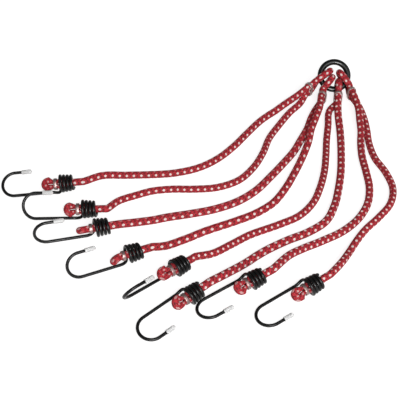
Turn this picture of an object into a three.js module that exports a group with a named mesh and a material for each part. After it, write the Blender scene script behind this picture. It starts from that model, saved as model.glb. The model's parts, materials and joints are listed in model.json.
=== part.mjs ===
// Multi-arm bungee strap: four elastic cords doubled through one steel ring make eight arms,
// and each arm ends in a wire hook whose own wire is wound round the folded cord end.
// Units are millimetres, +Z is up, and the strap lies on the plane z = 0.

import * as THREE from "three";

// Elastic cord
const CORD_DIAMETER = 8;
const CORD_SIDES = 10;
const ARM_STEPS = 11;
const LOOP_STEPS = 30;
const SEAT_GAP = 0.3;
const FLOOR_GAP = 0.1;

// Steel ring, leaning back on the cords that run through it
const RING_OUTER_DIAMETER = 42;
const RING_SECTION = 7.5;
const RING_TILT = 45;
const RING_STEPS = 32;
const RING_SIDES = 10;

// Hook wire: a tapering coil, a shank, a half-round bend and a return leg
const WIRE_DIAMETER = 3.6;
const COIL_TURNS = 4;
const COIL_PITCH = 4.1;
const COIL_MOUTH_DIAMETER = 22;
const COIL_NARROW_DIAMETER = 19;
const COIL_LEAVES_AT = 135;
const COIL_STEPS_A_TURN = 12;
const WIRE_SIDES = 6;
const SHANK_START = 10;
const SHANK_LENGTH = 41.7;
const SHANK_OFFSET = 9.9;
const BEND_RADIUS = 14.5;
const BEND_STEPS = 10;
const RETURN_LEG = 8;
const LEAD_OUT = 5;
const LEAD_OUT_STEPS = 5;

// Dipped tip on the hook's point
const TIP_DIAMETER = 5.2;
const TIP_LENGTH = 12;
const TIP_GRIP = 9;
const TIP_SIDES = 10;
const TIP_NOSE_STEPS = 3;

// Folded cord end held in the coil
const TAIL_IN_COIL = 7;
const LEG_PARTING = 0.4;
const SQUEEZED_WIDTH = 8.4;
const PINCHED_HEIGHT = 5;
const PINCHED_WIDTH = 8;
const PINCH_MARGIN = 0.8;
const FOLD_CENTRE = 12.5;
const FOLD_BEND_RUN = 10;
const FOLD_STEPS = 8;
const FOLD_SIDES = 8;
const NECK_LENGTH = 6;
const NECK_RUN_ON = 2;

// Pressed steel clips
const CLIP_WALL = 1;
const CLIP_BREADTH = 3.5;
const CLIP_PLACE = 4.2;
const CLIP_ROUND_STEPS = 8;
const CLIP_GAP = 0.6;
const WRAP_GAP = 0.75;
const CLIP_RUN = 3.5;
const LEG_GAP = 0.4;

// How far a hook may pitch to lie level, in degrees, and the halvings that find it
const PITCH_REACH = 22.5;
const PITCH_STEPS = 40;

// The lie of the strap on its surface, in squares of this side
const LAYOUT_SQUARE = 10;
const ORIGIN_SHARES = [1.4, -0.46];

// Each hook: the middle of its coil's mouth in squares, its heading and its roll in degrees
const HOOK_PLACES = {
  1: { mouthShares: [-16.3, 1.62], heading: -178.2, roll: 158.3 },
  2: { mouthShares: [-13.4, -2.55], heading: 178.8, roll: 131.9 },
  3: { mouthShares: [-11.73, -5.53], heading: -167.8, roll: 91.9 },
  4: { mouthShares: [-7.96, -9.5], heading: -158.3, roll: 111.5 },
  5: { mouthShares: [-2.8, -11.45], heading: -142.5, roll: 64.9 },
  6: { mouthShares: [-1.27, -15.32], heading: -141.8, roll: -7.6 },
  7: { mouthShares: [5.27, -13.24], heading: -149.6, roll: 8.2 },
  8: { mouthShares: [11.34, -14.03], heading: -148.2, roll: 2.6 },
};

// Each folded end, in degrees: its turn in the coil, its tilt past the clip, and the tilt's way
const FOLDS = {
  1: { turn: 65, tilt: 15, towards: 330 },
  2: { turn: 93, tilt: 15, towards: 315 },
  3: { turn: 44, tilt: 10, towards: 240 },
  4: { turn: 27, tilt: 30, towards: 225 },
  5: { turn: -11, tilt: 45, towards: 90 },
  6: { turn: 60, tilt: 30, towards: 125 },
  7: { turn: 48, tilt: 20, towards: 0 },
  8: { turn: 56, tilt: 20, towards: 330 },
};

// Each arm's route from its ring clip to its hook, in squares, with the lift off the surface
const ROUTE_SHARES = {
  1: [[12.2, 17.1, 1.1], [10.5, 16.2, 0.35], [9, 15, 0], [7.4, 13.4, 0], [5.7, 11.1, 0],
    [4, 8.7, 0], [2, 6.5, 0], [-0.2, 5, 0], [-3, 4.1, 0], [-5.9, 3.8, 0.05],
    [-8.7, 3.6, 0.15], [-11.4, 2.8, 0.85]],
  2: [[12.5, 16.4, 0.4], [11.1, 14.8, 0.2], [9.7, 12.6, 0.1], [8.4, 10.3, 0], [7.5, 7.6, 0],
    [6.3, 5.1, 0], [4.5, 2.9, 0], [2, 1.7, 0], [-0.8, 1.4, 0], [-3.2, 1.4, 0],
    [-5.4, 1.1, 0.05], [-7.4, 0.2, 0.2], [-9.3, -1, 0.5]],
  3: [[14.4, 15.5, 0.02], [13.7, 13.8, 0], [13.1, 11.9, 0], [12.1, 9.7, 0], [11.2, 7.8, 0],
    [9.9, 5.8, 0], [8.2, 3.4, 0], [6.4, 1.1, 0], [4.2, -0.7, 0], [1.6, -1.9, 0],
    [-1, -2.6, 0], [-4, -3.25, 0], [-5.8, -3.8, 0.15], [-7.6, -4.4, 0.45]],
  4: [[14.8, 15.1, 0.9], [14.1, 12.9, 0.85], [13.5, 11.2, 0.65], [13, 9.1, 0.35], [11.9, 6.1, 0],
    [10.9, 3.7, 0], [9.8, 1.4, 0], [8.3, -0.9, 0], [6.2, -2.6, 0], [3.9, -3.8, 0],
    [0.4, -5.4, 0], [-1.7, -6.6, 0.1], [-3.8, -7.85, 0.4]],
  5: [[16.1, 15.3, 0.02], [15.7, 12.5, 0], [15.3, 9.8, 0], [15, 7.1, 0], [14.6, 4.4, 0],
    [13.9, 1.7, 0], [12.9, -0.8, 0], [11.2, -2.9, 0], [8.8, -4.3, 0], [5.3, -6, 0],
    [3.3, -7.5, 0.15], [1.3, -9.05, 0.45]],
  6: [[17.1, 14.8, 0.35], [17.1, 12, 0], [17, 9.5, 0], [16.8, 6.8, 0], [16.5, 4.1, 0],
    [16, 1.4, 0], [15.3, -1.3, 0], [14.1, -3.8, 0], [12, -5.5, 0], [9.5, -6.8, 0],
    [6.7, -8.6, 0.05], [4.7, -10.45, 0.3], [2.6, -12.3, 0.75]],
  7: [[19.6, 15, 0.85], [19.6, 13, 0.6], [19.6, 11.2, 0.3], [19.4, 9.4, 0], [19.3, 7, 0],
    [19.5, 4.3, 0], [19.6, 1.6, 0], [19.1, -1, 0], [17.8, -3.4, 0], [15.8, -5.4, 0],
    [13.3, -6.9, 0.05], [11.3, -8.1, 0.25], [9.6, -9.5, 0.65]],
  8: [[19.9, 15.9, 0.15], [20.3, 13.8, 0], [20.4, 11.6, 0], [20.4, 9.3, 0], [20.8, 6.7, 0],
    [21.8, 4.2, 0], [22.3, 1.5, 0], [21.7, -1, 0], [20.1, -3.2, 0], [18.4, -5.1, 0],
    [17.2, -6.9, 0.05], [16.3, -8.6, 0.3], [15.2, -10.6, 0.75]],
};

// The ring's centre in squares, and where a loop goes over, round and under the ring's section
const RING_PLACE_SHARES = [16.9, 19.8];
const OVER_ANGLES = [55, 90];
const BIGHT_ANGLES = [125, 180, 235];
const UNDER_ANGLES = [270, 305];

// Each doubled cord: its two arms, where and at what slant its loop crosses the ring, how slack
// the loop is, and its clip's place and heading
const LOOPS = [
  { front: 1, back: 2, clock: -171, slant: 35.6, slack: 6.2, clipShares: [13.6, 18, 0.75],
    heading: -135 },
  { front: 4, back: 3, clock: -129, slant: 52, slack: 5.6, clipShares: [15.3, 17.3, 0],
    heading: -113 },
  { front: 6, back: 5, clock: -73, slant: 86, slack: 1, clipShares: [17.3, 17.3, 0],
    heading: -95 },
  { front: 7, back: 8, clock: -28, slant: 126, slack: 6.2, clipShares: [19, 17.7, 0.3],
    heading: -72 },
];

const radians = THREE.MathUtils.degToRad;

// Sizes that follow from the driving ones
const cordRadius = CORD_DIAMETER / 2;
const wireRadius = WIRE_DIAMETER / 2;
const cordRest = cordRadius + FLOOR_GAP;
const ringCentreRadius = (RING_OUTER_DIAMETER - RING_SECTION) / 2;
const coilLength = COIL_TURNS * COIL_PITCH;
const mouthRadius = COIL_MOUTH_DIAMETER / 2 - wireRadius;
const narrowRadius = COIL_NARROW_DIAMETER / 2 - wireRadius;
const bendX = SHANK_START + SHANK_LENGTH;
const returnY = BEND_RADIUS * 2 - SHANK_OFFSET;
const wrapRadius = RING_SECTION / 2 + cordRadius + WRAP_GAP;
const legSpacing = CORD_DIAMETER + LEG_GAP;
const ringClipHalfHeight = legSpacing / 2 + cordRadius + CLIP_GAP + CLIP_WALL;
const ringHeight = cordRest + FLOOR_GAP + wrapRadius
  + ringCentreRadius * Math.sin(radians(RING_TILT));
const foldStart = -(coilLength + WIRE_DIAMETER);
const pinchEnds = CLIP_PLACE + CLIP_BREADTH / 2 + PINCH_MARGIN;
const pinchStarts = CLIP_PLACE - CLIP_BREADTH / 2 - PINCH_MARGIN;
const neckStart = foldStart - SEAT_GAP;
const neckEnd = neckStart - NECK_LENGTH;

const finishes = {
  cord: { color: 0xb02a35, roughness: 0.75, metalness: 0 },
  wire: { color: 0x17181a, roughness: 0.35, metalness: 0.2 },
  ring: { color: 0x1b1f1d, roughness: 0.25, metalness: 0.3 },
  clip: { color: 0xd9cfc4, roughness: 0.4, metalness: 0.6 },
  tip: { color: 0xf1f1ee, roughness: 0.3, metalness: 0 },
};

function namedMesh(name, geometry, finish) {
  const mesh = new THREE.Mesh(geometry, new THREE.MeshStandardMaterial(finishes[finish]));
  mesh.name = name;
  return mesh;
}

// A place in the layout's squares, as millimetres from the part's own origin
function layoutPoint([x, y], z) {
  return new THREE.Vector3(
    (x + ORIGIN_SHARES[0]) * LAYOUT_SQUARE,
    (y + ORIGIN_SHARES[1]) * LAYOUT_SQUARE,
    z,
  );
}

// A closed skin over rings of points, with a flat fan over each end
function skin(rings) {
  const sides = rings[0].length;
  const positions = rings.flat().flatMap((p) => [p.x, p.y, p.z]);
  const indices = [];
  const at = (ring, side) => ring * sides + (side % sides);
  for (let ring = 0; ring < rings.length - 1; ring++) {
    for (let side = 0; side < sides; side++) {
      indices.push(at(ring, side), at(ring, side + 1), at(ring + 1, side + 1));
      indices.push(at(ring, side), at(ring + 1, side + 1), at(ring + 1, side));
    }
  }
  const last = rings.length - 1;
  for (let side = 1; side < sides - 1; side++) {
    indices.push(at(0, 0), at(0, side + 1), at(0, side));
    indices.push(at(last, 0), at(last, side), at(last, side + 1));
  }
  const geometry = new THREE.BufferGeometry();
  geometry.setAttribute("position", new THREE.Float32BufferAttribute(positions, 3));
  geometry.setIndex(indices);
  geometry.computeVertexNormals();
  return geometry;
}

// One ring of a tube's skin: across and along are the half-axes of its section
function sectionRing(centre, across, along, sides) {
  const ring = [];
  for (let side = 0; side < sides; side++) {
    const angle = (side / sides) * Math.PI * 2;
    ring.push(centre.clone().addScaledVector(across, Math.cos(angle))
      .addScaledVector(along, Math.sin(angle)));
  }
  return ring;
}

// The centre line of the hook wire, in the hook's own frame: the coil's axis is X, its mouth
// is at the origin, and the hook lies in the plane z = 0 with its return leg on the +Y side
function wireCentreLine() {
  const points = [];
  const coilSteps = COIL_TURNS * COIL_STEPS_A_TURN;
  const coilPoint = (turn) => {
    const angle = radians(COIL_LEAVES_AT) - turn * Math.PI * 2;
    const radius = THREE.MathUtils.lerp(mouthRadius, narrowRadius, turn / COIL_TURNS);
    return new THREE.Vector3(-turn * COIL_PITCH, radius * Math.cos(angle), radius * Math.sin(angle));
  };
  const coil = [];
  for (let step = coilSteps; step >= 0; step--) {
    coil.push(coilPoint(step / COIL_STEPS_A_TURN));
  }
  points.push(...coil);

  const mouth = coil[coilSteps];
  const leaving = mouth.clone().sub(coilPoint(1 / COIL_STEPS_A_TURN)).setLength(LEAD_OUT);
  const shankFoot = new THREE.Vector3(SHANK_START, -SHANK_OFFSET, 0);
  const leadOut = new THREE.CubicBezierCurve3(
    mouth,
    mouth.clone().add(leaving),
    shankFoot.clone().setX(SHANK_START - LEAD_OUT),
    shankFoot,
  );
  points.push(...leadOut.getPoints(LEAD_OUT_STEPS).slice(1));

  for (let step = 0; step <= BEND_STEPS; step++) {
    const angle = (step / BEND_STEPS - 1 / 2) * Math.PI;
    points.push(new THREE.Vector3(
      bendX + BEND_RADIUS * Math.cos(angle),
      returnY - BEND_RADIUS + BEND_RADIUS * Math.sin(angle),
      0,
    ));
  }
  points.push(new THREE.Vector3(bendX - RETURN_LEG - TIP_GRIP, returnY, 0));
  return points;
}

const wirePoints = wireCentreLine();

// The least distance between the surfaces of neighbouring turns, measured on the coil's points
function leastCoilGap() {
  const coil = wirePoints.slice(0, COIL_TURNS * COIL_STEPS_A_TURN + 1);
  let least = Infinity;
  for (let i = 0; i < coil.length; i++) {
    for (let j = i + COIL_STEPS_A_TURN / 2; j < coil.length; j++) {
      least = Math.min(least, coil[i].distanceTo(coil[j]) - WIRE_DIAMETER);
    }
  }
  return least;
}

// The hook wire as one unbroken tube whose section is carried along without twisting
function hookWireGeometry() {
  const rings = [];
  const across = new THREE.Vector3();
  wirePoints.forEach((point, i) => {
    const before = wirePoints[Math.max(i - 1, 0)];
    const after = wirePoints[Math.min(i + 1, wirePoints.length - 1)];
    const tangent = after.clone().sub(before).normalize();
    if (i === 0) {
      across.set(1, 0, 0);
    }
    across.addScaledVector(tangent, -across.dot(tangent)).normalize();
    const along = tangent.clone().cross(across);
    const half = across.clone().multiplyScalar(wireRadius);
    rings.push(sectionRing(point, half, along.multiplyScalar(wireRadius), WIRE_SIDES));
  });
  return skin(rings);
}

// The dipped tip: a round-nosed sleeve with a blind bore, its open rim at the origin
function tipGeometry() {
  const outer = TIP_DIAMETER / 2;
  const bore = wireRadius + SEAT_GAP;
  const profile = [
    new THREE.Vector2(0, TIP_GRIP + SEAT_GAP),
    new THREE.Vector2(bore, TIP_GRIP + SEAT_GAP),
    new THREE.Vector2(bore, 0),
    new THREE.Vector2(outer, 0),
  ];
  for (let step = 0; step < TIP_NOSE_STEPS; step++) {
    const angle = (step / TIP_NOSE_STEPS) * (Math.PI / 2);
    profile.push(new THREE.Vector2(
      outer * Math.cos(angle),
      TIP_LENGTH - outer + outer * Math.sin(angle),
    ));
  }
  profile.push(new THREE.Vector2(0, TIP_LENGTH));
  return new THREE.LatheGeometry(profile, TIP_SIDES);
}

// The clear radius inside the coil at a place along its axis, less the seat's gap
function coilRoom(x) {
  const share = THREE.MathUtils.clamp(-x / coilLength, 0, 1);
  const radius = THREE.MathUtils.lerp(mouthRadius, narrowRadius, share);
  return radius * Math.cos(Math.PI / COIL_STEPS_A_TURN) - wireRadius - SEAT_GAP;
}

// A folded end's point turned in its coil and, past the clip, tilted to one side
function turnedAndTilted(point, { turn, tilt, towards }) {
  const turned = point.clone().applyAxisAngle(new THREE.Vector3(1, 0, 0), radians(turn));
  const past = turned.x - pinchEnds;
  if (past <= 0) {
    return turned;
  }
  const way = new THREE.Vector3(0, Math.cos(radians(towards)), Math.sin(radians(towards)));
  const radius = FOLD_BEND_RUN / radians(tilt);
  const angle = Math.min(past, FOLD_BEND_RUN) / radius;
  const straight = Math.max(past - FOLD_BEND_RUN, 0);
  const inner = radius - turned.dot(way);
  const x = pinchEnds + inner * Math.sin(angle) + straight * Math.cos(angle);
  const rise = radius - inner * Math.cos(angle) + straight * Math.sin(angle);
  return turned.addScaledVector(way, rise - turned.dot(way)).setX(x);
}

// The folded end: out of the coil, pinched by its clip, round in a tight fold, and back in
function foldGeometry(fold) {
  const parting = LEG_PARTING / 2;
  const stations = [];
  const put = (x, z, tx, tz, half, halfWidth) => {
    stations.push({ x, z, tangent: new THREE.Vector3(tx, 0, tz), half, halfWidth });
  };
  const putLeg = (x, height, width, way) => {
    put(x, way * (height / 2 + parting), way, 0, height / 2, width / 2);
  };
  const foldRadius = cordRadius + parting;
  const legs = [
    [-TAIL_IN_COIL, coilRoom(-TAIL_IN_COIL) - parting, SQUEEZED_WIDTH],
    [0, coilRoom(0) - parting, SQUEEZED_WIDTH],
    [pinchStarts, PINCHED_HEIGHT, PINCHED_WIDTH],
    [pinchEnds, PINCHED_HEIGHT, PINCHED_WIDTH],
  ];
  put(foldStart, 0, 1, 0, cordRadius, cordRadius);
  put(-coilLength, 0, 1, 0, cordRadius, cordRadius);
  legs.forEach(([x, height, width]) => putLeg(x, height, width, 1));
  for (let step = 0; step <= FOLD_STEPS; step++) {
    const angle = (1 / 2 - step / FOLD_STEPS) * Math.PI;
    put(FOLD_CENTRE + foldRadius * Math.cos(angle), foldRadius * Math.sin(angle),
      Math.sin(angle), -Math.cos(angle), cordRadius, cordRadius);
  }
  legs.reverse().forEach(([x, height, width]) => putLeg(x, height, width, -1));

  const side = new THREE.Vector3(0, 1, 0);
  const rings = stations.map(({ x, z, tangent, half, halfWidth }) => {
    const along = tangent.clone().cross(side).multiplyScalar(half);
    const across = side.clone().multiplyScalar(halfWidth);
    return sectionRing(new THREE.Vector3(x, 0, z), across, along, FOLD_SIDES)
      .map((point) => turnedAndTilted(point, fold));
  });
  return skin(rings);
}

// A pressed clip: a flat-sided band round two legs, one above the other along Z, with the
// legs running along X
function clipGeometry(innerHalfHeight, innerHalfWidth) {
  const outline = (points, grow) => {
    const radius = innerHalfWidth + grow;
    const straight = innerHalfHeight - innerHalfWidth;
    for (let step = 0; step <= CLIP_ROUND_STEPS; step++) {
      const angle = (step / CLIP_ROUND_STEPS) * Math.PI;
      points.push(new THREE.Vector2(
        radius * Math.cos(angle),
        straight + radius * Math.sin(angle),
      ));
    }
    const turned = points.map((point) => point.clone().negate());
    return [...points, ...turned];
  };
  const shape = new THREE.Shape(outline([], CLIP_WALL));
  shape.holes.push(new THREE.Path(outline([], 0)));
  const geometry = new THREE.ExtrudeGeometry(shape, { depth: CLIP_BREADTH, bevelEnabled: false });
  geometry.translate(0, 0, -CLIP_BREADTH / 2);
  geometry.rotateX(Math.PI / 2);
  geometry.rotateZ(Math.PI / 2);
  return geometry;
}

// The frame of a hook laid on the surface: its coil and its bend both touch it, so the
// pitch and the height follow from the roll
function hookMatrix({ mouthShares, heading, roll }) {
  const turned = (pitch) => new THREE.Matrix4().makeRotationFromEuler(
    new THREE.Euler(radians(roll), -pitch, radians(heading), "ZYX"),
  );
  const lowest = (points, pitch) => Math.min(
    ...points.map((point) => point.clone().applyMatrix4(turned(pitch)).z),
  );
  const coilPart = wirePoints.filter((point) => point.x <= SHANK_START);
  const bendPart = wirePoints.filter((point) => point.x > SHANK_START);
  let low = -radians(PITCH_REACH);
  let high = radians(PITCH_REACH);
  for (let step = 0; step < PITCH_STEPS; step++) {
    const middle = (low + high) / 2;
    if (lowest(bendPart, middle) > lowest(coilPart, middle)) {
      high = middle;
    } else {
      low = middle;
    }
  }
  const height = wireRadius + FLOOR_GAP - lowest(wirePoints, low);
  return turned(low).setPosition(layoutPoint(mouthShares, height));
}

const hookMatrices = Object.fromEntries(
  Object.entries(HOOK_PLACES).map(([arm, place]) => [arm, hookMatrix(place)]),
);

// A smooth cord route that never dips into the surface
class CordCurve extends THREE.CatmullRomCurve3 {
  constructor(points) {
    super(points, false, "centripetal");
    this.arcLengthDivisions = 3000;
  }

  getPoint(t, target) {
    const point = super.getPoint(t, target);
    point.z = Math.max(point.z, cordRest);
    return point;
  }
}

// A stretch of a longer curve, between two lengths along it
class Stretch extends THREE.Curve {
  constructor(whole, from, to) {
    super();
    this.whole = whole;
    this.from = from / whole.getLength();
    this.to = to / whole.getLength();
  }

  getPoint(t, target) {
    return this.whole.getPointAt(THREE.MathUtils.lerp(this.from, this.to, t), target);
  }
}

const ringCentre = layoutPoint(RING_PLACE_SHARES, ringHeight);
const ringSide = new THREE.Vector3(1, 0, 0);
const ringSlope = new THREE.Vector3(0, Math.cos(radians(RING_TILT)), Math.sin(radians(RING_TILT)));
const ringFace = ringSide.clone().cross(ringSlope);

// One arm's points from its clip to the straight run behind its neck
function armPoints(arm) {
  const route = ROUTE_SHARES[arm].map(
    ([x, y, lift]) => layoutPoint([x, y], cordRest + lift * LAYOUT_SQUARE),
  );
  const onAxis = (x) => new THREE.Vector3(x, 0, 0).applyMatrix4(hookMatrices[arm]);
  return [...route, onAxis(neckEnd - SEAT_GAP - NECK_RUN_ON), onAxis(neckEnd - SEAT_GAP)];
}

// One doubled cord: in along the front arm, through its clip, over the ring's section and
// round, back through the clip under itself and out along the other arm
function doubledCord({ front, back, clock, slant, slack, clipShares, heading }) {
  const angle = radians(clock);
  const rim = ringCentre.clone()
    .addScaledVector(ringSide, ringCentreRadius * Math.cos(angle))
    .addScaledVector(ringSlope, ringCentreRadius * Math.sin(angle));
  const inward = ringSide.clone().multiplyScalar(Math.cos(radians(slant)))
    .addScaledVector(ringSlope, Math.sin(radians(slant)));
  const bight = rim.clone().addScaledVector(inward, slack);
  const round = (centre, turns) => turns.map((turn) => centre.clone()
    .addScaledVector(inward, -wrapRadius * Math.cos(radians(turn)))
    .addScaledVector(ringFace, wrapRadius * Math.sin(radians(turn))));

  const lift = FLOOR_GAP + clipShares[2] * LAYOUT_SQUARE;
  const clipAt = layoutPoint(clipShares, ringClipHalfHeight + lift);
  const course = new THREE.Vector3(Math.cos(radians(heading)), Math.sin(radians(heading)), 0);
  const inClip = (along, rise) => clipAt.clone().addScaledVector(course, along)
    .add(new THREE.Vector3(0, 0, rise));
  const points = [
    ...armPoints(front).reverse(),
    inClip(CLIP_RUN, legSpacing / 2),
    inClip(-CLIP_RUN, legSpacing / 2),
    ...round(rim, OVER_ANGLES),
    ...round(bight, BIGHT_ANGLES),
    ...round(rim, UNDER_ANGLES),
    inClip(-CLIP_RUN, -legSpacing / 2),
    inClip(CLIP_RUN, -legSpacing / 2),
    ...armPoints(back),
  ];
  const curve = new CordCurve(points);
  const lengthTo = (index) => {
    const division = Math.round(index / (points.length - 1) * curve.arcLengthDivisions);
    return curve.getLengths()[division];
  };
  const frontEnds = lengthTo(armPoints(front).length - 1);
  const backStarts = lengthTo(points.length - armPoints(back).length);
  return { curve, frontEnds, backStarts, clipAt, course };
}

// A cord's own round section for an extrusion along its route
function cordSection() {
  const points = [];
  for (let side = 0; side < CORD_SIDES; side++) {
    const angle = (side / CORD_SIDES) * Math.PI * 2;
    points.push(new THREE.Vector2(cordRadius * Math.cos(angle), cordRadius * Math.sin(angle)));
  }
  return new THREE.Shape(points);
}

function cordGeometry(path, steps) {
  return new THREE.ExtrudeGeometry(cordSection(), { steps, extrudePath: path, bevelEnabled: false });
}

function ringMesh() {
  const sectionRadius = RING_SECTION / 2;
  const geometry = new THREE.TorusGeometry(
    ringCentreRadius,
    sectionRadius,
    RING_SIDES,
    RING_STEPS,
  );
  const ring = namedMesh("ring", geometry, "ring");
  ring.rotation.x = radians(RING_TILT);
  ring.position.copy(ringCentre);
  return ring;
}

// The loop round the ring, its clip and the two arms that the cord goes on into
function doubledCordGroup(loop) {
  const group = new THREE.Group();
  const { curve, frontEnds, backStarts, clipAt, course } = doubledCord(loop);
  const pair = `${loop.front}_${loop.back}`;
  const whole = curve.getLength();
  const frontArm = new Stretch(curve, 0, frontEnds - SEAT_GAP);
  const loopPath = new Stretch(curve, frontEnds, backStarts);
  const backArm = new Stretch(curve, backStarts + SEAT_GAP, whole);
  group.add(namedMesh(`arm_cord_${loop.front}`, cordGeometry(frontArm, ARM_STEPS), "cord"));
  group.add(namedMesh(`arm_cord_${loop.back}`, cordGeometry(backArm, ARM_STEPS), "cord"));
  group.add(namedMesh(`ring_loop_${pair}`, cordGeometry(loopPath, LOOP_STEPS), "cord"));

  const clip = namedMesh(
    `ring_clip_${pair}`,
    clipGeometry(legSpacing / 2 + cordRadius + CLIP_GAP, cordRadius + CLIP_GAP),
    "clip",
  );
  clip.position.copy(clipAt);
  clip.rotation.z = Math.atan2(course.y, course.x);
  group.add(clip);
  return group;
}

// A hook with its wound coil, the folded cord end, the clip round the fold, and the tip
function hookGroup(arm) {
  const group = new THREE.Group();
  group.applyMatrix4(hookMatrices[arm]);
  group.add(namedMesh(`hook_wire_${arm}`, hookWireGeometry(), "wire"));
  group.add(namedMesh(`folded_end_${arm}`, foldGeometry(FOLDS[arm]), "cord"));

  const clip = namedMesh(
    `end_clip_${arm}`,
    clipGeometry(PINCHED_HEIGHT + LEG_PARTING / 2 + CLIP_GAP, PINCHED_WIDTH / 2 + CLIP_GAP),
    "clip",
  );
  clip.rotation.x = radians(FOLDS[arm].turn);
  clip.position.x = CLIP_PLACE;
  group.add(clip);

  const tip = namedMesh(`hook_tip_${arm}`, tipGeometry(), "tip");
  tip.rotation.z = Math.PI / 2;
  tip.position.set(bendX - RETURN_LEG, returnY, 0);
  group.add(tip);

  const neck = namedMesh(
    `neck_cord_${arm}`,
    new THREE.CylinderGeometry(cordRadius, cordRadius, NECK_LENGTH, CORD_SIDES),
    "cord",
  );
  neck.rotation.z = Math.PI / 2;
  neck.position.x = neckStart - NECK_LENGTH / 2;
  group.add(neck);
  return group;
}

const strap = new THREE.Group();
strap.name = "multi_arm_bungee_strap";
strap.add(ringMesh());
LOOPS.forEach((loop) => strap.add(doubledCordGroup(loop)));
Object.keys(HOOK_PLACES).forEach((arm) => strap.add(hookGroup(arm)));

console.log(`least gap between turns of a hook's coil: ${leastCoilGap().toFixed(2)} mm`);

export default strap;
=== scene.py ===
import json
from collections import namedtuple
from functools import partialmethod
from math import asin, atan2, ceil, cos, pi, radians, sin, sqrt, tau

import bmesh
import bpy
from bpy.props import FloatProperty, FloatVectorProperty, IntProperty, PointerProperty
from mathutils import Euler, Matrix, Vector


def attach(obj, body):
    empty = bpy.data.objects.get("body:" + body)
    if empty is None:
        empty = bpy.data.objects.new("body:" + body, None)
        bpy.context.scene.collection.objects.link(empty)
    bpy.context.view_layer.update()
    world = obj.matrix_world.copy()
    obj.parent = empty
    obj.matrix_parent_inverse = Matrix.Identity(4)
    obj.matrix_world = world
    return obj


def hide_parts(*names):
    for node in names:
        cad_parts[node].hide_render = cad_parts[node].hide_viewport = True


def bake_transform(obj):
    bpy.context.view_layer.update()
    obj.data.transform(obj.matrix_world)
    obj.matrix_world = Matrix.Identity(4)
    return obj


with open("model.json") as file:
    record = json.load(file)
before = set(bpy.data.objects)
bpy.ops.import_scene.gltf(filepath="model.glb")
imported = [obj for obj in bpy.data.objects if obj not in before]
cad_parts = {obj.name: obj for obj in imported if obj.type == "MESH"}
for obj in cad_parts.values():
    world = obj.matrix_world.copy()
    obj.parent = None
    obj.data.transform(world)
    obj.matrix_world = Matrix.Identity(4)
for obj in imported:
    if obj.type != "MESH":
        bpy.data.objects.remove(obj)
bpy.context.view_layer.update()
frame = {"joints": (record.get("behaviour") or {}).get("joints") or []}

bl_info = {
    "name": "Multi-arm bungee strap",
    "version": (1, 0, 0),
    "blender": (4, 5, 0),
    "location": "View3D > Sidebar > Strap",
    "description": "Builds a red braided eight-arm bungee strap with a ring and wound wire hooks",
    "category": "Object",
}

RIGHT, AHEAD, UP = Vector((1, 0, 0)), Vector((0, 1, 0)), Vector((0, 0, 1))
ARMS = range(1, 9)
TINY = 1e-6

# The lie of the strap: routes in squares of this many metres, counted from this origin
SQUARE = 0.010
ORIGIN_SHARES = (1.4, -0.46)

# Each arm's route from its ring clip to its hook, with the lift where it is off the surface
ROUTES = {
    1: [(12.2, 17.1, 1.1), (10.5, 16.2, 0.35), (9, 15), (7.4, 13.4), (5.7, 11.1), (4, 8.7),
        (2, 6.5), (-0.2, 5), (-3, 4.1), (-5.9, 3.8, 0.05), (-8.7, 3.6, 0.15), (-11.4, 2.8, 0.85)],
    2: [(12.5, 16.4, 0.4), (11.1, 14.8, 0.2), (9.7, 12.6, 0.1), (8.4, 10.3), (7.5, 7.6),
        (6.3, 5.1), (4.5, 2.9), (2, 1.7), (-0.8, 1.4), (-3.2, 1.4), (-5.4, 1.1, 0.05),
        (-7.4, 0.2, 0.2), (-9.3, -1, 0.5)],
    3: [(14.4, 15.5, 0.02), (13.7, 13.8), (13.1, 11.9), (12.1, 9.7), (11.2, 7.8), (9.9, 5.8),
        (8.2, 3.4), (6.4, 1.1), (4.2, -0.7), (1.6, -1.9), (-1, -2.6), (-4, -3.25),
        (-5.8, -3.8, 0.15), (-7.6, -4.4, 0.45)],
    4: [(14.8, 15.1, 0.9), (14.1, 12.9, 0.85), (13.5, 11.2, 0.65), (13, 9.1, 0.35), (11.9, 6.1),
        (10.9, 3.7), (9.8, 1.4), (8.3, -0.9), (6.2, -2.6), (3.9, -3.8), (0.4, -5.4),
        (-1.7, -6.6, 0.1), (-3.8, -7.85, 0.4)],
    5: [(16.1, 15.3, 0.02), (15.7, 12.5), (15.3, 9.8), (15, 7.1), (14.6, 4.4), (13.9, 1.7),
        (12.9, -0.8), (11.2, -2.9), (8.8, -4.3), (5.3, -6), (3.3, -7.5, 0.15), (1.3, -9.05, 0.45)],
    6: [(17.1, 14.8, 0.35), (17.1, 12), (17, 9.5), (16.8, 6.8), (16.5, 4.1), (16, 1.4),
        (15.3, -1.3), (14.1, -3.8), (12, -5.5), (9.5, -6.8), (6.7, -8.6, 0.05), (4.7, -10.45, 0.3),
        (2.6, -12.3, 0.75)],
    7: [(19.6, 15, 0.85), (19.6, 13, 0.6), (19.6, 11.2, 0.3), (19.4, 9.4), (19.3, 7), (19.5, 4.3),
        (19.6, 1.6), (19.1, -1), (17.8, -3.4), (15.8, -5.4), (13.3, -6.9, 0.05),
        (11.3, -8.1, 0.25), (9.6, -9.5, 0.65)],
    8: [(19.9, 15.9, 0.15), (20.3, 13.8), (20.4, 11.6), (20.4, 9.3), (20.8, 6.7), (21.8, 4.2),
        (22.3, 1.5), (21.7, -1), (20.1, -3.2), (18.4, -5.1), (17.2, -6.9, 0.05), (16.3, -8.6, 0.3),
        (15.2, -10.6, 0.75)],
}

# How thick each arm and each loop looks, against the cord's own diameter
ARM_GIRTHS = {1: 1.08, 2: 1.05, 3: 1.15, 4: 1.12, 5: 1.07, 6: 1.15, 7: 1.12, 8: 1.05}
LOOP_GIRTH = 1.06

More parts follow.
